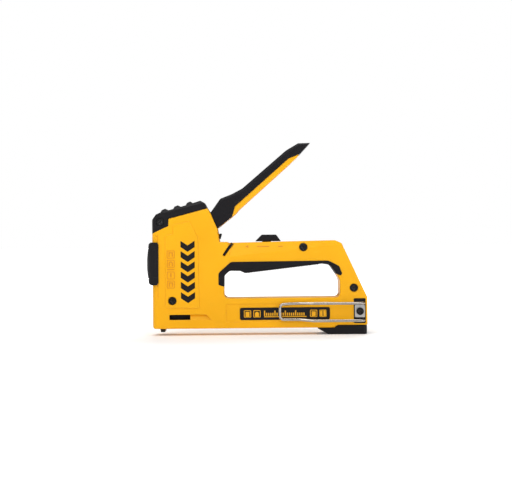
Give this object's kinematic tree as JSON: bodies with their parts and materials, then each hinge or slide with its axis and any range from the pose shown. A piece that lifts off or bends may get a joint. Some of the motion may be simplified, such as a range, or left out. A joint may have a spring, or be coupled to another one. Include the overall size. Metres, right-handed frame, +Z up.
{
  "type": "staple gun",
  "caption": "Hand-squeezed staple gun with a raised lever, a closed hand grip, a rear-sliding magazine, a power selector and a wire belt hook.",
  "frame": {"origin": "under the middle of the tool's box, on the surface it stands on", "axes": "+X from the nose to the rear along the lower arm, +Z up, -Y towards the belt hook side"},
  "size_m": [0.198, 0.042, 0.1726],
  "materials": {
    "yellow_housing": "moulded, fine texture",
    "yellow_lever": "painted",
    "black_plastic": "moulded",
    "black_knob": "moulded, fine texture",
    "black_grip": "overmoulded",
    "rubber_grip": "soft, fine texture",
    "rubber_pad": "plain",
    "dark_steel": "black oxide",
    "zinc_steel": "zinc plated",
    "bright_steel": "ground",
    "staple_wire": "drawn wire",
    "cast_block": "sintered",
    "spring_steel": "oil tempered",
    "brass_parts": "turned",
    "hook_wire": "nickel plated"
  },
  "bodies": {
    "body": {"housing_left": "yellow_housing", "housing_right": "yellow_housing", "top_cap": "black_plastic", "cap_screws": "dark_steel", "housing_screws": "dark_steel", "grip_insert": "rubber_grip", "core_frame": "zinc_steel", "nose_guide": "dark_steel", "pivot_pin": "bright_steel", "plunger_bumper": "rubber_pad", "spring_seat": "black_plastic", "main_spring": "spring_steel", "lever_stop": "dark_steel", "staple_channel": "dark_steel", "staple_strip": "staple_wire", "belt_hook": "hook_wire", "hook_clamp": "zinc_steel", "hook_screw": "dark_steel", "hook_inserts": "brass_parts", "hook_pad": "black_plastic", "groove_strips": "black_plastic"},
    "lever": {"lever_frame": "yellow_lever", "lever_grip": "black_grip", "lift_fork": "zinc_steel", "fork_pin": "bright_steel", "lever_bushings": "brass_parts"},
    "plunger": {"plunger_block": "cast_block", "driver_blade": "bright_steel"},
    "selector": {"selector_knob": "black_knob", "selector_carriage": "black_plastic"},
    "lock": {"lever_lock": "black_knob", "lock_clip": "black_plastic"},
    "magazine": {"magazine_rail": "zinc_steel", "magazine_foot": "black_plastic", "magazine_latch": "black_knob", "pusher_rod": "bright_steel", "pusher_spring": "spring_steel"},
    "pusher": {"staple_pusher": "cast_block"}
  },
  "joints": [
    {"name": "lever_squeeze", "type": "hinge", "parent": "body", "child": "lever", "pos_m": [-0.0465, 0.0031, 0.1058], "axis": [0, 1, 0], "range_deg": [0, 40]},
    {"name": "plunger_lift", "type": "slide", "parent": "body", "child": "plunger", "axis": [0, 0, 1], "range_m": [0, 0.0186], "stiffness_N_per_m": 150, "springref_m": -0.02, "deforming": ["main_spring"]},
    {"name": "selector_slide", "type": "slide", "parent": "body", "child": "selector", "axis": [0, 0, 1], "range_m": [-0.01, 0.006]},
    {"name": "lock_slide", "type": "slide", "parent": "body", "child": "lock", "axis": [1, 0, 0], "range_m": [-0.008, 0]},
    {"name": "magazine_slide", "type": "slide", "parent": "body", "child": "magazine", "axis": [1, 0, 0], "range_m": [0, 0.11]},
    {"name": "pusher_slide", "type": "slide", "parent": "magazine", "child": "pusher", "axis": [1, 0, 0], "range_m": [0, 0.04], "stiffness_N_per_m": 60, "springref_m": -0.05, "deforming": ["pusher_spring"]}
  ],
  "couplings": [
    {"joint": "plunger_lift", "follows": "lever_squeeze", "m_per_rad": 0.026352}
  ]
}
